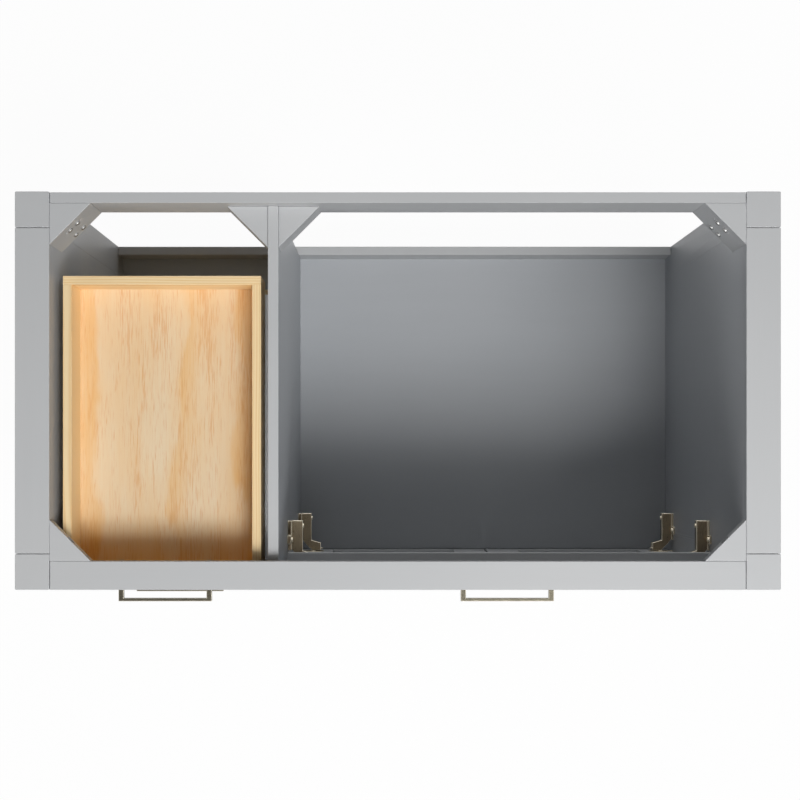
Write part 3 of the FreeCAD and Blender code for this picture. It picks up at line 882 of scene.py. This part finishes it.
@dataclass
class Screws:
    """Pan-head screws with a cross recess, modelled once and copied."""

    sides: int = 24
    shank_sides: int = 12
    dome: float = 0.34
    dome_segments: int = 4
    slot_width: float = 0.24
    slot_length: float = 1.14
    slot_depth: float = 0.62
    slot_top: float = 0.5
    tip: float = 0.25
    thickest_head: float = 0.0046
    rim_share: float = 0.97
    pin_share: float = 0.8
    turn: float = math.radians(37.0)

    def __post_init__(self) -> None:
        """Model the head and the shank at unit size, looking up."""
        self.head = self.model_head()
        self.shank = self.model_shank()

    def model_head(self) -> bpy.types.Object:
        """Model the head.

        Returns:
            A domed head of radius 1 and height 1 below the origin.
        """
        head = self.add_rod(self.sides)
        select_faces(head, lambda face: face.normal.z > FACING)
        with editing(head):
            bpy.ops.mesh.bevel(offset=self.dome, segments=self.dome_segments, affect="EDGES")
        half = self.slot_length / 2
        thin = self.slot_width / 2
        arms = [
            add_block("slot", Vector((-x, -y, -self.slot_depth)), Vector((x, y, self.slot_top)))
            for x, y in ((half, thin), (thin, half))
        ]
        cut_away(head, arms)
        activate(head)
        bpy.ops.object.shade_smooth_by_angle(angle=SMOOTH_ANGLE)
        return head

    def model_shank(self) -> bpy.types.Object:
        """Model the shank.

        Returns:
            A pointed shank of radius 1 and length 1 below the origin.
        """
        shank = self.add_rod(self.shank_sides)
        select_faces(shank, lambda face: face.normal.z < -FACING)
        with editing(shank):
            taper = (self.tip, self.tip, 1.0)
            bpy.ops.transform.resize(value=taper, center_override=(0.0, 0.0, -1.0))
        activate(shank)
        bpy.ops.object.shade_smooth_by_angle(angle=SMOOTH_ANGLE)
        return shank

    @staticmethod
    def add_rod(sides: int) -> bpy.types.Object:
        """Add a rod of radius 1 and length 1 below the origin.

        Args:
            sides: How many sides it has.

        Returns:
            The rod.
        """
        deselect()
        below = (0.0, 0.0, -0.5)
        bpy.ops.mesh.primitive_cylinder_add(vertices=sides, radius=1.0, depth=1.0, location=below)
        rod = bpy.context.object
        bpy.ops.object.transform_apply(location=True)
        return rod

    def find(self, part: bpy.types.Object) -> ScrewPlace | None:
        """Say where a part's screw is.

        Args:
            part: One solid of a node.

        Returns:
            The screw's place, or nothing if the part is no screw.
        """
        corners = corners_of(part)
        centre = (corners.max(axis=0) + corners.min(axis=0)) / 2
        offsets = corners - corners.mean(axis=0)
        axis = np.linalg.eigh(offsets.T @ offsets)[1][:, -1]
        along = (corners - centre) @ axis
        radii = np.linalg.norm((corners - centre) - np.outer(along, axis), axis=1)
        widest = radii.max()
        rim = radii > self.rim_share * widest
        head = along[rim]
        if widest > self.thickest_head or len(head) > self.pin_share * len(corners):
            return None
        outward = axis if head.mean() > 0 else -axis
        heights = head if head.mean() > 0 else -head
        top = centre + outward * heights.max()
        return ScrewPlace(
            top=Vector(top),
            outward=Vector(outward),
            head_radius=float(widest),
            head_height=float(heights.max() - heights.min()),
            shank_radius=float(radii[~rim].max()),
            length=float(along.max() - along.min()),
        )

    def make(self, places: Sequence[ScrewPlace], name: str) -> bpy.types.Object:
        """Make one piece of all the screws at some places.

        Args:
            places: Where the screws sit.
            name: The piece's name.

        Returns:
            The piece.
        """
        copies = []
        for number, place in enumerate(places):
            turn = Matrix.Rotation(self.turn * number, 4, "Z")
            lean = place.outward.to_track_quat("Z", "Y").to_matrix().to_4x4()
            frame = Matrix.Translation(place.top) @ lean @ turn
            head_size = Matrix.Diagonal((place.head_radius, place.head_radius, place.head_height, 1.0))
            shank_length = place.length - place.head_height
            shank_size = Matrix.Diagonal((place.shank_radius, place.shank_radius, shank_length, 1.0))
            under_head = Matrix.Translation((0.0, 0.0, -place.head_height))
            for mould, size in ((self.head, head_size), (self.shank, under_head @ shank_size)):
                copy = bpy.data.objects.new(name + "_copy", mould.data.copy())
                bpy.context.scene.collection.objects.link(copy)
                copy.data.transform(frame @ size)
                copies.append(copy)
        return join(copies, name)


@dataclass(frozen=True)
class Board:
    """One painted node: its grain, its easing, the axis of its open joints and whether it takes the
    darker coat of painted shade all over.
    """

    node: str
    grain: Axis
    easing: float = 0.0008
    joints: Axis | None = None
    painted_shade_all_over: bool = False


@dataclass
class Carcass:
    """The painted body: posts, rails, sides, partition, floor and corner blocks."""

    cabinet: PackedCabinet
    finishes: Finishes
    joint_gap: float = 0.0006
    inside_above: float = 0.09
    wall_reach: float = 0.5
    linings: tuple[str, ...] = ("side_lining_left", "side_lining_right")
    boards: tuple[Board, ...] = (
        Board("post_front_left", Axis.Z, 0.0009),
        Board("post_front_right", Axis.Z, 0.0009),
        Board("post_back_left", Axis.Z, 0.0009),
        Board("post_back_right", Axis.Z, 0.0009),
        Board("side_rails_left", Axis.Y, joints=Axis.Y),
        Board("side_rails_right", Axis.Y, joints=Axis.Y),
        Board("side_panel_left", Axis.Z, 0.0004),
        Board("side_panel_right", Axis.Z, 0.0004),
        Board("side_lining_left", Axis.Y, 0.0004),
        Board("side_lining_right", Axis.Y, 0.0004),
        Board("back_rail_top", Axis.X, joints=Axis.X),
        Board("back_rail_bottom", Axis.X, 0.0015),
        Board("front_rail_top", Axis.X, 0.001, joints=Axis.X),
        Board("front_rail_middle", Axis.X),
        Board("front_rail_bottom", Axis.X),
        Board("drawer_rails", Axis.X),
        Board("centre_stile", Axis.Z),
        Board("partition", Axis.Y),
        # The floor takes the darker coat all over: painted shade.
        Board("floor_panel", Axis.X, 0.0005, painted_shade_all_over=True),
        Board("corner_blocks", Axis.X, 0.001),
        Board("false_front_cleats", Axis.X),
    )

    def build(self) -> None:
        """Ease and paint every board."""
        seams = self.find_seams()
        for board in self.boards:
            piece = copy_node(board.node, board.node + "_eased")
            if board.joints is not None:
                draw_in(piece, board.joints, self.joint_gap)
            if board.node.startswith(("post_", *self.linings)):
                ease_edges(piece, board.easing, stays_sharp=partial(self.in_seam, seams))
            else:
                ease_edges(piece, board.easing)
            paint_with(piece, *(self.finishes.paint[coat, board.grain] for coat in Coat))
            # Inner walls that face sideways, and the floor, take the darker coat: painted shade.
            for face in piece.data.polygons:
                face.material_index = int(board.painted_shade_all_over or self.gets_painted_shade(face))
            self.cabinet.settle(piece, board.node, None, [board.node])

    def gets_painted_shade(self, face: bpy.types.MeshPolygon) -> bool:
        """Return whether a face above the floor is part of an inner wall that faces sideways, and so
        takes the darker coat of painted shade.

        Args:
            face: The face.

        Returns:
            Whether it is.
        """
        across = face.center.x
        if face.center.z < self.inside_above or abs(face.normal.x) < FACING:
            return False
        return abs(across) < self.wall_reach or across * face.normal.x < 0

    def find_seams(self) -> list[tuple[float, float]]:
        """Find where the linings meet the posts flush.

        Returns:
            The seams' places on the floor plan.
        """
        seams = []
        for lining in self.linings:
            low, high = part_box(lining)
            inner = min(low.x, high.x, key=abs)
            seams += [(inner, low.y), (inner, high.y)]
        return seams

    @staticmethod
    def in_seam(seams: Sequence[tuple[float, float]], first: Vector, second: Vector) -> bool:
        """Return whether an edge stands upright in one of the seams."""
        upright = math.dist(first.xy, second.xy) < NEAR
        return upright and any(math.dist(first.xy, seam) < NEAR for seam in seams)


@dataclass(frozen=True)
class CupSeat:
    """The bore in a stile for one hinge cup, open towards the back."""

    floor: Vector
    radius: float

    def holds(self, first: Vector, second: Vector) -> bool:
        """Return whether both ends of an edge lie in the bore."""
        return all(math.dist(end.xz, self.floor.xz) < self.radius + NEAR for end in (first, second))


@dataclass
class Fronts:
    """The drawer fronts, the fixed front over the sink and the two doors."""

    cabinet: PackedCabinet
    finishes: Finishes
    slabs: tuple[str, ...] = (
        "drawer_top_front",
        "drawer_second_front",
        "drawer_third_front",
        "drawer_bottom_front",
        "false_front",
    )
    easing: float = 0.0012
    door_border: float = 0.055
    cup_gap: float = 0.0003
    smallest_cup: float = 0.01
    bore_sides: int = 64

    def build(self) -> None:
        """Make every front."""
        for node in self.slabs:
            slab = copy_node(node, node + "_eased")
            ease_edges(slab, self.easing)
            self.cabinet.settle(slab, node, self.finishes.paint[Coat.BODY, Axis.X], [node])
        for side in ("left", "right"):
            self.build_door("door_" + side)

    def find_cup_seats(self, door: str) -> list[CupSeat]:
        """Find the bores that a door's hinge cups need.

        Args:
            door: The first part of the door's node names.

        Returns:
            The bores.
        """
        parts = loose_parts(door + "_hinge_cups")
        seats = []
        for part in parts:
            corners = corners_of(part)
            bottom = corners[corners[:, 1] < corners[:, 1].min() + NEAR]
            low, high = Vector(bottom.min(axis=0)), Vector(bottom.max(axis=0))
            radius = (high.x - low.x) / 2
            if radius > self.smallest_cup:
                floor = (low + high) / 2 - Vector((0.0, self.cup_gap, 0.0))
                seats.append(CupSeat(floor, radius + self.cup_gap))
        discard(parts)
        return seats

    def add_stile(
        self, name: str, low: Vector, high: Vector, seats: Sequence[CupSeat]
    ) -> bpy.types.Object:
        """Add an upright of a door with the bores that fall on it.

        Args:
            name: The stile's name.
            low: Its lowest corner.
            high: Its highest corner.
            seats: The bores of the door.

        Returns:
            The stile.
        """
        stile = add_block(name, low, high)
        bores = [seat for seat in seats if low.x < seat.floor.x < high.x]
        cut_away(stile, [self.add_plug(bore, high.y - low.y) for bore in bores])
        ease_edges(stile, self.easing, stays_sharp=partial(self.in_bore, bores))
        return stile

    @staticmethod
    def in_bore(bores: Sequence[CupSeat], first: Vector, second: Vector) -> bool:
        """Return whether an edge lies in one of the bores."""
        return any(bore.holds(first, second) for bore in bores)

    def add_plug(self, seat: CupSeat, length: float) -> bpy.types.Object:
        """Add a rod that fills a bore and stands out behind.

        Args:
            seat: The bore.
            length: The rod's length.

        Returns:
            The rod.
        """
        deselect()
        bpy.ops.mesh.primitive_cylinder_add(
            vertices=self.bore_sides,
            radius=seat.radius,
            depth=length,
            location=seat.floor + Vector((0.0, length / 2, 0.0)),
            rotation=(math.pi / 2, 0.0, 0.0),
        )
        plug = bpy.context.object
        bpy.ops.object.transform_apply(location=True, rotation=True)
        return plug

    def build_door(self, door: str) -> None:
        """Make one door's stiles, rails and panel.

        Args:
            door: The first part of the door's node names.
        """
        upright = self.finishes.paint[Coat.BODY, Axis.Z]
        level = self.finishes.paint[Coat.BODY, Axis.X]
        frame = door + "_frame"
        low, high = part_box(frame)
        left = low.x + self.door_border
        right = high.x - self.door_border
        seats = self.find_cup_seats(door)
        stiles = [
            self.add_stile(door + "_stile", low, Vector((left, high.y, high.z)), seats),
            self.add_stile(door + "_stile", Vector((right, low.y, low.z)), high, seats),
        ]
        rails = []
        for bottom in (low.z, high.z - self.door_border):
            rail_low = Vector((left, low.y, bottom))
            rail_high = Vector((right, high.y, bottom + self.door_border))
            rails.append(add_board(door + "_rail", rail_low, rail_high, self.easing))
        self.cabinet.settle(join(stiles, door + "_stiles"), frame, upright, [frame])
        self.cabinet.settle(join(rails, door + "_rails"), frame, level)
        panel = door + "_panel"
        piece = copy_node(panel, panel + "_eased")
        ease_edges(piece, self.easing / 2)
        self.cabinet.settle(piece, panel, upright, [panel])


@dataclass
class BarPulls:
    """Square bar pulls, each bent from one bar and screwed on from behind."""

    cabinet: PackedCabinet
    finishes: Finishes
    screws: Screws
    leg_width: float = 0.0075
    bar_thickness: float = 0.0045
    easing: float = 0.0007
    fronts: tuple[tuple[str, Axis], ...] = (
        ("drawer_top_pull", Axis.X),
        ("drawer_second_pull", Axis.X),
        ("drawer_third_pull", Axis.X),
        ("drawer_bottom_pull", Axis.X),
        ("false_front_pull", Axis.X),
        ("door_left_pull", Axis.Z),
        ("door_right_pull", Axis.Z),
    )

    def build(self) -> None:
        """Make every pull with its screws."""
        for node, along in self.fronts:
            parts = loose_parts(node)
            places = [place for place in map(self.screws.find, parts) if place]
            low, high = box_of(max(parts, key=lambda part: len(part.data.vertices)))
            for part in parts:
                part_low, part_high = box_of(part)
                if part_low.y < low.y:
                    low, high = part_low, part_high
            discard(parts)
            pull = self.bend(node + "_bar", low, high, along)
            paint_with(pull, self.finishes.nickel[along], self.finishes.nickel_edge)
            # The rounded edges take the pale nickel: a painted highlight.
            ease_edges(pull, self.easing, material_index=1)
            self.cabinet.settle(pull, node, None, [node])
            screws = self.screws.make(places, node + "_screws")
            self.cabinet.settle(screws, node, self.finishes.screw)

    def bend(self, name: str, low: Vector, high: Vector, along: Axis) -> bpy.types.Object:
        """Model one pull.

        Args:
            name: The pull's name.
            low: The lowest corner of its box.
            high: The highest corner, on the plane that its legs stand on.
            along: The way the bar runs.

        Returns:
            The pull.
        """
        bar_back = low.y + self.bar_thickness
        bar = add_block(name, low, Vector((high.x, bar_back, high.z)))
        cuts = (low[along.value] + self.leg_width, high[along.value] - self.leg_width)
        normal = [float(index == along.value) for index in range(3)]
        with editing(bar):
            for cut in cuts:
                bpy.ops.mesh.select_all(action="SELECT")
                bpy.ops.mesh.bisect(plane_co=[cut * share for share in normal], plane_no=normal)
        start, end = cuts
        select_faces(
            bar,
            lambda face: face.normal.y > FACING and not start < face.center[along.value] < end,
        )
        with editing(bar):
            reach = {"value": (0.0, high.y - bar_back, 0.0)}
            bpy.ops.mesh.extrude_region_move(TRANSFORM_OT_translate=reach)
        return bar


@dataclass
class DrawerBoxes:
    """The four pine drawer boxes, modelled once and copied down."""

    cabinet: PackedCabinet
    finishes: Finishes
    wall: float = 0.0125
    easing: float = 0.0006
    names: tuple[str, ...] = ("top", "second", "third", "bottom")

    def build(self) -> None:
        """Make the boards of the top box and copy them for the others."""
        top_low, top_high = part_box("drawer_top_sides")
        end_low, end_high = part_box("drawer_top_ends")
        front = add_board(
            "drawer_front_board",
            Vector((top_low.x + self.wall, end_low.y, end_low.z)),
            Vector((top_high.x - self.wall, end_low.y + self.wall, end_high.z)),
            self.easing,
        )
        ends = loose_parts("drawer_top_ends")
        ends.sort(key=lambda part: box_of(part)[0].y)
        discard(ends[:-1])
        back = ends[-1]
        ease_edges(back, self.easing)
        sides = copy_node("drawer_top_sides", "drawer_side_boards")
        floor = copy_node("drawer_top_floor", "drawer_floor_board")
        for piece in (sides, floor):
            ease_edges(piece, self.easing)
        moulds = (
            (join([front, back], "drawer_end_boards"), self.finishes.board[Axis.X]),
            (sides, self.finishes.board[Axis.Y]),
            (floor, self.finishes.veneer),
        )
        for mould, material in moulds:
            paint_with(mould, material)
        for name in self.names:
            self.build_box(name, [mould for mould, _ in moulds], top_low.z)
        discard([mould for mould, _ in moulds])

    def build_box(self, name: str, moulds: Sequence[bpy.types.Object], top_level: float) -> None:
        """Copy the boards to one drawer.

        Args:
            name: The drawer's name.
            moulds: The boards of the top drawer.
            top_level: The level of the top drawer's lower edge.
        """
        prefix = "drawer_" + name
        wooden = {prefix + part for part in ("_box", "_sides", "_ends", "_floor")}
        nodes = [node for node in self.cabinet.nodes if node in wooden]
        level = min(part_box(node)[0].z for node in nodes)
        boards = []
        for mould in moulds:
            board = bpy.data.objects.new(prefix + "_board", mould.data.copy())
            board.data.transform(Matrix.Translation((0.0, 0.0, level - top_level)))
            bpy.context.scene.collection.objects.link(board)
            boards.append(board)
        self.cabinet.settle(join(boards, prefix + "_pine_box"), nodes[0], None, nodes)


@dataclass
class Slides:
    """The undermount slides under each drawer."""

    cabinet: PackedCabinet
    finishes: Finishes
    easing: float = 0.0004
    nodes: tuple[str, ...] = (
        "slide_rails",
        "slide_top_middle",
        "slide_second_middle",
        "slide_third_middle",
        "slide_bottom_middle",
        "drawer_top_runners",
        "drawer_second_runners",
        "drawer_third_runners",
        "drawer_bottom_runners",
    )

    def build(self) -> None:
        """Round the folds of each member and plate it."""
        for node in self.nodes:
            piece = copy_node(node, node + "_folded")
            ease_edges(piece, self.easing)
            self.cabinet.settle(piece, node, self.finishes.zinc, [node])


@dataclass
class Hinges:
    """The concealed hinges: arms on plates, cups in the doors and the links between."""

    cabinet: PackedCabinet
    finishes: Finishes
    screws: Screws
    nodes: tuple[tuple[str, float], ...] = (
        ("hinge_arms", 0.0007),
        ("door_left_hinge_cups", 0.0005),
        ("door_left_hinge_links", 0.0006),
        ("door_right_hinge_cups", 0.0005),
        ("door_right_hinge_links", 0.0006),
    )

    def build(self) -> None:
        """Round the sheet pieces of each node, paint highlights on their rounded edges and model the
        screws anew.
        """
        for node, easing in self.nodes:
            sheets = []
            heads = []
            places = []
            for part in loose_parts(node):
                place = self.screws.find(part)
                if place:
                    places.append(place)
                    heads.append(part)
                else:
                    sheets.append(part)
            discard(heads)
            piece = join(sheets, node + "_eased")
            paint_with(piece, self.finishes.hinge, self.finishes.hinge_edge)
            # The rounded edges take the pale metal: a painted highlight.
            ease_edges(piece, easing, segments=2, material_index=1)
            self.cabinet.settle(piece, node, None, [node])
            if places:
                screws = self.screws.make(places, node + "_screws")
                self.cabinet.settle(screws, node, self.finishes.hinge_edge)


@dataclass
class SmallFittings:
    """The wood screws, the glides under the posts and the bumpers of the doors."""

    cabinet: PackedCabinet
    finishes: Finishes
    screws: Screws
    reach: float = 0.001

    def build(self) -> None:
        """Make every small fitting."""
        parts = loose_parts("cabinet_screws")
        places = [place for place in map(self.screws.find, parts) if place]
        discard(parts)
        plate_places = [place for place in places if self.is_on_plate(place)]
        wood_places = [place for place in places if not self.is_on_plate(place)]
        wood_screws = self.screws.make(wood_places, "wood_screws")
        plate_screws = self.screws.make(plate_places, "hinge_plate_screws")
        self.cabinet.settle(wood_screws, "cabinet_screws", self.finishes.screw, ["cabinet_screws"])
        self.cabinet.settle(plate_screws, "cabinet_screws", self.finishes.hinge_edge)
        for node, easing, material in (
            ("leg_glides", 0.0012, self.finishes.glide),
            ("door_bumpers", 0.0008, self.finishes.bumper),
        ):
            piece = copy_node(node, node + "_eased")
            ease_edges(piece, easing)
            self.cabinet.settle(piece, node, material, [node])

    def is_on_plate(self, place: ScrewPlace) -> bool:
        """Return whether a screw holds one of the hinge plates."""
        sides = zip(*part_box("hinge_arms"), place.top)
        return all(low - self.reach < value < high + self.reach for low, high, value in sides)


@dataclass(frozen=True)
class SoftBox:
    """A square lamp: where it hangs, what it is aimed at, its side and its power in watts."""

    place: tuple[float, float, float]
    aim: tuple[float, float, float]
    side: float
    power: float


class Lamp(Enum):
    """The lamps of the studio."""

    KEY = SoftBox((0.5, -1.5, 4.5), (0.1, 0.1, 0.5), 1.1, 60.0)
    SKY = SoftBox((2.2, -2.6, 8.0), (0.1, 0.1, 0.5), 3.0, 214.0)
    LEFT = SoftBox((-2.8, -2.4, 2.0), (0.1, 0.1, 0.7), 1.6, 32.0)
    RIGHT = SoftBox((1.6, -1.6, 2.8), (0.1, 0.1, 0.5), 1.2, 15.0)
    BACK = SoftBox((0.6, 2.6, 3.2), (0.0, 0.0, 0.5), 2.0, 5.0)
    LOW = SoftBox((0.2, 4.2, 0.45), (0.0, 0.0, 0.45), 0.8, 28.0)


@dataclass(frozen=True)
class Studio:
    """The pale floor, the lamps, the world and the camera."""

    ambient: float = 0.01
    floor_size: float = 60.0
    floor_colour: tuple[float, float, float, float] = (0.9, 0.9, 0.9, 1.0)
    shadow_share: float = 0.035
    camera_place: tuple[float, float, float] = (-0.0221, -0.0771, 3.305)
    lens: float = 79.3
    sensor: float = 36.0
    shift: tuple[float, float] = (0.0225, 0.06875)
    farthest: float = 200.0

    @staticmethod
    def seen(shader: Shader) -> Wire:
        """Tell the rays that show the background from those that light the object.

        Args:
            shader: The shader that asks.

        Returns:
            1 for a ray from the camera or off gloss or glass, and else 0.
        """
        path = shader.node("ShaderNodeLightPath")
        rays = [shader.wire(path, f"Is {kind} Ray") for kind in ("Camera", "Glossy", "Transmission")]
        share = shader.maths("MAXIMUM", rays[0], rays[1])
        return shader.maths("MAXIMUM", share, rays[2])

    def build_floor(self) -> None:
        """Lay the pale floor."""
        deselect()
        bpy.ops.mesh.primitive_plane_add(size=self.floor_size, location=(0.0, 0.0, 0.0))
        floor = bpy.context.object
        floor.name = "studio_floor"
        material, shader = new_shader("floor_white")
        matt = shader.node("ShaderNodeBsdfDiffuse", None, {"Color": self.floor_colour})
        glow = shader.node("ShaderNodeEmission", None, {"Color": WHITE, "Strength": 1.0})
        share = self.seen(shader) * (1.0 - self.shadow_share)
        sockets = {0: share, 1: shader.wire(matt), 2: shader.wire(glow)}
        mix = shader.node("ShaderNodeMixShader", None, sockets)
        shader.node("ShaderNodeOutputMaterial", None, {"Surface": shader.wire(mix)})
        floor.data.materials.append(material)

    def build_world(self) -> None:
        """Fill the world with even white light."""
        world = bpy.data.worlds.new("studio")
        world.use_nodes = True
        bpy.context.scene.world = world
        shader = Shader(world.node_tree)
        strength = self.ambient + self.seen(shader) * (1.0 - self.ambient)
        sockets = {"Color": WHITE, "Strength": strength}
        background = shader.node("ShaderNodeBackground", None, sockets)
        shader.node("ShaderNodeOutputWorld", None, {"Surface": shader.wire(background)})

    def build_lamps(self) -> None:
        """Hang the lamps."""
        for lamp in Lamp:
            box = lamp.value
            bpy.ops.object.light_add(type="AREA", location=box.place)
            light = bpy.context.object
            light.name = "lamp_" + lamp.name.lower()
            light.data.size = box.side
            light.data.energy = box.power
            view = Vector(box.aim) - Vector(box.place)
            light.rotation_euler = view.to_track_quat("-Z", "Y").to_euler()

    def build_camera(self) -> None:
        """Look straight down into the open top."""
        bpy.ops.object.camera_add(location=self.camera_place, rotation=(0.0, 0.0, 0.0))
        camera = bpy.context.object
        camera.data.lens = self.lens
        camera.data.sensor_width = self.sensor
        camera.data.shift_x, camera.data.shift_y = self.shift
        camera.data.clip_end = self.farthest
        bpy.context.scene.camera = camera
        bpy.context.scene.view_settings.view_transform = "Standard"

    def build(self) -> None:
        """Set up the whole studio."""
        self.build_floor()
        self.build_world()
        self.build_lamps()
        self.build_camera()


def main() -> None:
    """Build the cabinet's looks and the studio."""
    logging.basicConfig(level=logging.INFO, format="%(message)s")
    cabinet = PackedCabinet()
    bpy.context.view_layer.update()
    finishes = Finishes()
    screws = Screws()
    Carcass(cabinet, finishes).build()
    Fronts(cabinet, finishes).build()
    DrawerBoxes(cabinet, finishes).build()
    BarPulls(cabinet, finishes, screws).build()
    Slides(cabinet, finishes).build()
    Hinges(cabinet, finishes, screws).build()
    SmallFittings(cabinet, finishes, screws).build()
    discard([screws.head, screws.shank])
    Studio().build()


if __name__ == "__main__":
    main()
